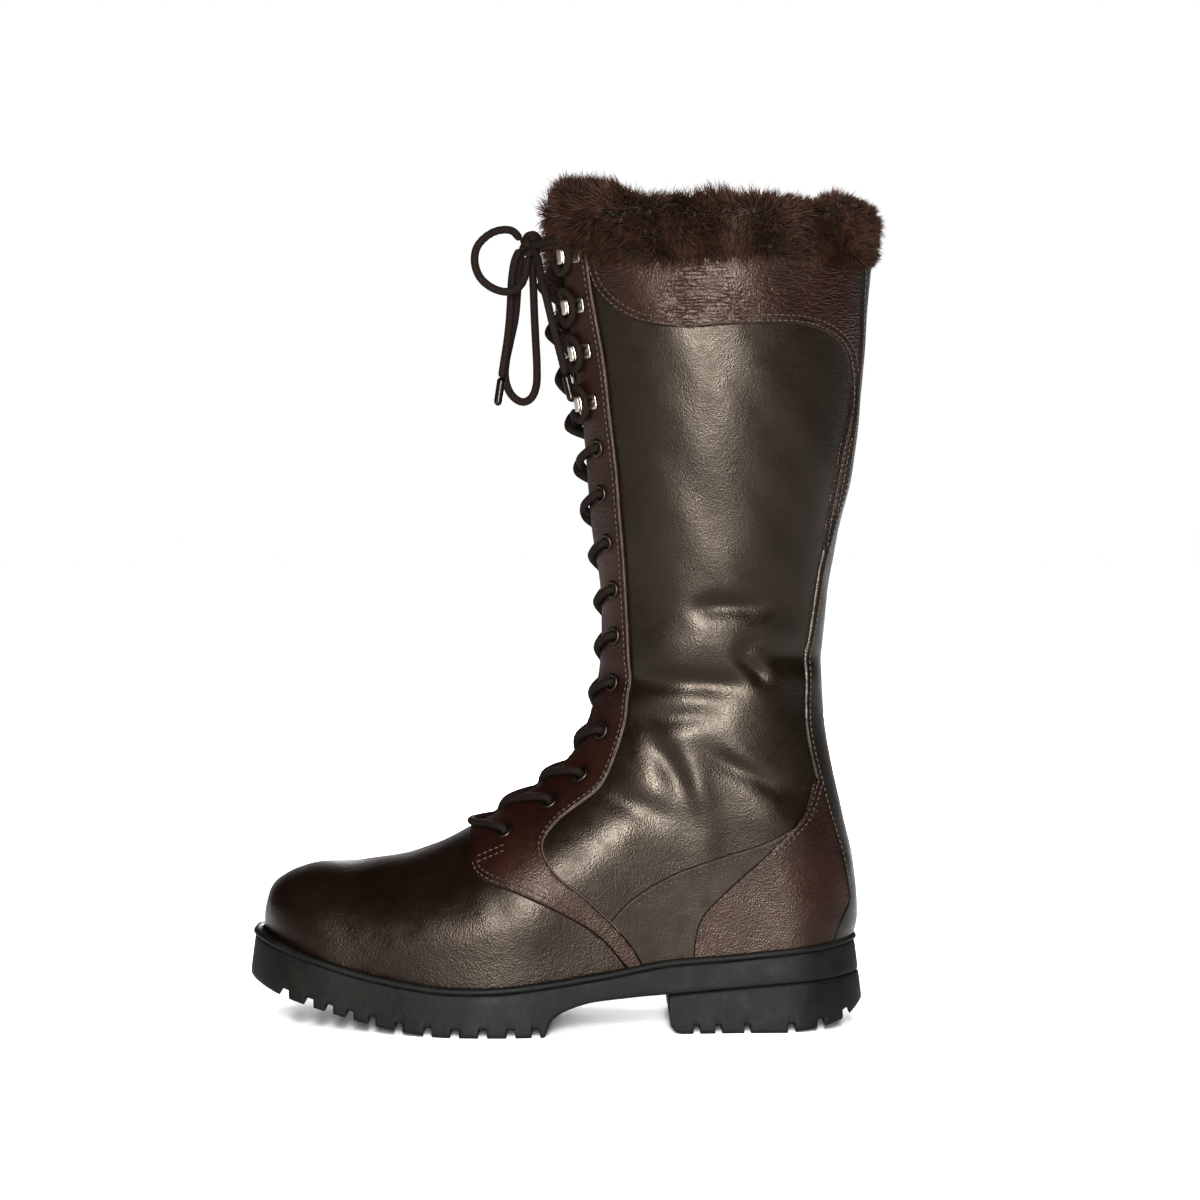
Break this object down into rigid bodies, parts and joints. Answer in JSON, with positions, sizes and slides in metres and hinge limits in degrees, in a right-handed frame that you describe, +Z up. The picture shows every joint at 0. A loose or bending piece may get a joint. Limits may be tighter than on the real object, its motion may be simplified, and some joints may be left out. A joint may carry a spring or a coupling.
{
  "type": "insulated lace-up boot",
  "caption": "Tall lace-up winter boot, left foot: leather upper in sewn panels, fur cuff and lining, eyelets and speed hooks, tied lace, lugged rubber sole with block heel.",
  "frame": {"origin": "on the ground under the middle of the boot's bounding box, measured without the loose lace", "axes": "+Z up, toe towards -X, outer (lateral) side of the left boot towards -Y"},
  "size_m": [0.3082, 0.127, 0.411],
  "materials": {
    "vamp_leather": "smooth glossy waxed leather, olive brown",
    "shaft_leather": "smooth glossy waxed leather, dark olive brown",
    "trim_leather": "grained reddish-brown leather, waxed",
    "tongue_leather": "soft dark brown leather",
    "fur": "dense brown faux fur pile",
    "lining": "short brown fleece pile",
    "lace": "round braided lace, waxed",
    "aglet": "dark lace tip",
    "rubber": "matt black moulded rubber",
    "eyelet_metal": "dark gunmetal coated eyelet",
    "hook_metal": "bright nickel plate",
    "shank_steel": "plain spring steel",
    "board": "pressed fibre board",
    "footbed": "felt-covered footbed",
    "stiffener": "thermoplastic stiffener sheet"
  },
  "bodies": {
    "boot_body": {"facing_outer": "trim_leather", "shaft_panel_outer": "shaft_leather", "collar_panel_outer": "trim_leather", "heel_counter_outer": "trim_leather", "quarter_outer": "shaft_leather", "facing_inner": "trim_leather", "shaft_panel_inner": "shaft_leather", "collar_panel_inner": "trim_leather", "heel_counter_inner": "trim_leather", "quarter_inner": "shaft_leather", "vamp": "vamp_leather", "backstay": "shaft_leather", "insole_board": "board", "footbed": "footbed", "toe_puff": "stiffener", "heel_stiffener": "stiffener", "lining": "lining", "outsole": "rubber", "heel_block": "rubber", "storm_welt": "rubber", "shank": "shank_steel", "fur_cuff": "fur", "eyelet_outer_01": "eyelet_metal", "eyelet_inner_01": "eyelet_metal", "eyelet_outer_02": "eyelet_metal", "eyelet_inner_02": "eyelet_metal", "eyelet_outer_03": "eyelet_metal", "eyelet_inner_03": "eyelet_metal", "eyelet_outer_04": "eyelet_metal", "eyelet_inner_04": "eyelet_metal", "eyelet_outer_05": "eyelet_metal", "eyelet_inner_05": "eyelet_metal", "eyelet_outer_06": "eyelet_metal", "eyelet_inner_06": "eyelet_metal", "eyelet_outer_07": "eyelet_metal", "eyelet_inner_07": "eyelet_metal", "eyelet_outer_08": "eyelet_metal", "eyelet_inner_08": "eyelet_metal", "eyelet_outer_09": "eyelet_metal", "eyelet_inner_09": "eyelet_metal", "eyelet_outer_10": "eyelet_metal", "eyelet_inner_10": "eyelet_metal", "hook_outer_01": "hook_metal", "hook_inner_01": "hook_metal", "hook_outer_02": "hook_metal", "hook_inner_02": "hook_metal", "hook_outer_03": "hook_metal", "hook_inner_03": "hook_metal", "hook_outer_04": "hook_metal", "hook_inner_04": "hook_metal", "lace": "lace", "lace_knot": "lace", "lace_loop_outer": "lace", "lace_loop_inner": "lace", "lace_end_outer": "lace", "lace_end_inner": "lace", "aglet_outer": "aglet", "aglet_inner": "aglet"},
    "tongue_body": {"tongue": "tongue_leather", "tongue_fur": "fur"}
  },
  "joints": [
    {"name": "tongue_swing", "type": "hinge", "parent": "boot_body", "child": "tongue_body", "pos_m": [-0.04737, 0, 0.086], "axis": [0, 1, 0], "range_deg": [0, 8]}
  ]
}
